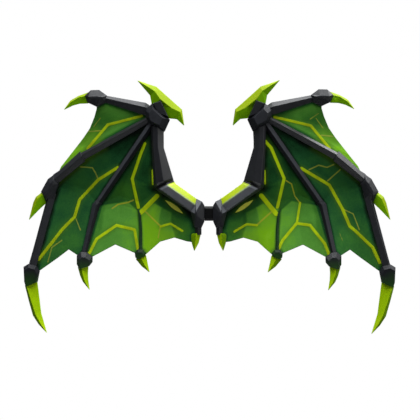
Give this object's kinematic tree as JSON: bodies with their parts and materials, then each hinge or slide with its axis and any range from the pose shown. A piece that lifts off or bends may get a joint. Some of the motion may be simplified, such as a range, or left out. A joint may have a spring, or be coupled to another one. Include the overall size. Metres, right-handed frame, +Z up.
{
  "type": "bat wings",
  "caption": "Pair of spread costume bat wings with ridged finger bones, scalloped green membranes and lime claws, joined by a short bar worn at the back.",
  "frame": {"origin": "middle of the connector bar's flat rear face, where the wings sit against the wearer's back", "axes": "+X along the span, towards the right in the picture; +Y from the display side to the wearer; +Z up"},
  "size_m": [1.112, 0.098, 0.752],
  "materials": {
    "bone_charcoal": "satin charcoal paint over foam",
    "claw_lime": "satin lime paint, darker towards the lower faces",
    "membrane_green": "stretched green cloth with painted yellow-green veins",
    "rib_green": "satin dark green paint",
    "connector_black": "satin black"
  },
  "bodies": {
    "root": {"connector_bar": "connector_black", "left_root_block": "bone_charcoal", "left_root_claw": "claw_lime", "left_upper_arm": "bone_charcoal", "left_forearm": "bone_charcoal", "left_wrist_block": "bone_charcoal", "left_thumb_socket": "bone_charcoal", "left_thumb_claw": "claw_lime", "left_finger1_bone": "bone_charcoal", "left_finger1_knuckle": "bone_charcoal", "left_finger1_claw": "claw_lime", "left_finger2_inner_bone": "bone_charcoal", "left_finger2_sleeve": "bone_charcoal", "left_finger2_knuckle": "bone_charcoal", "left_finger2_knuckle_claw": "claw_lime", "left_finger2_outer_bone": "bone_charcoal", "left_finger2_tip_block": "bone_charcoal", "left_finger2_claw": "claw_lime", "left_finger3_inner_bone": "bone_charcoal", "left_finger3_outer_bone": "bone_charcoal", "left_finger3_tip_block": "bone_charcoal", "left_finger3_claw": "claw_lime", "left_finger4_rib": "rib_green", "left_finger4_tip_block": "bone_charcoal", "left_finger4_claw": "claw_lime", "left_membrane_outer": "membrane_green", "left_membrane_middle": "membrane_green", "left_membrane_inner": "membrane_green", "right_root_block": "bone_charcoal", "right_root_claw": "claw_lime", "right_upper_arm": "bone_charcoal", "right_forearm": "bone_charcoal", "right_wrist_block": "bone_charcoal", "right_thumb_socket": "bone_charcoal", "right_thumb_claw": "claw_lime", "right_finger1_bone": "bone_charcoal", "right_finger1_knuckle": "bone_charcoal", "right_finger1_claw": "claw_lime", "right_finger2_inner_bone": "bone_charcoal", "right_finger2_sleeve": "bone_charcoal", "right_finger2_knuckle": "bone_charcoal", "right_finger2_knuckle_claw": "claw_lime", "right_finger2_outer_bone": "bone_charcoal", "right_finger2_tip_block": "bone_charcoal", "right_finger2_claw": "claw_lime", "right_finger3_inner_bone": "bone_charcoal", "right_finger3_outer_bone": "bone_charcoal", "right_finger3_tip_block": "bone_charcoal", "right_finger3_claw": "claw_lime", "right_finger4_rib": "rib_green", "right_finger4_tip_block": "bone_charcoal", "right_finger4_claw": "claw_lime", "right_membrane_outer": "membrane_green", "right_membrane_middle": "membrane_green", "right_membrane_inner": "membrane_green"}
  },
  "joints": []
}
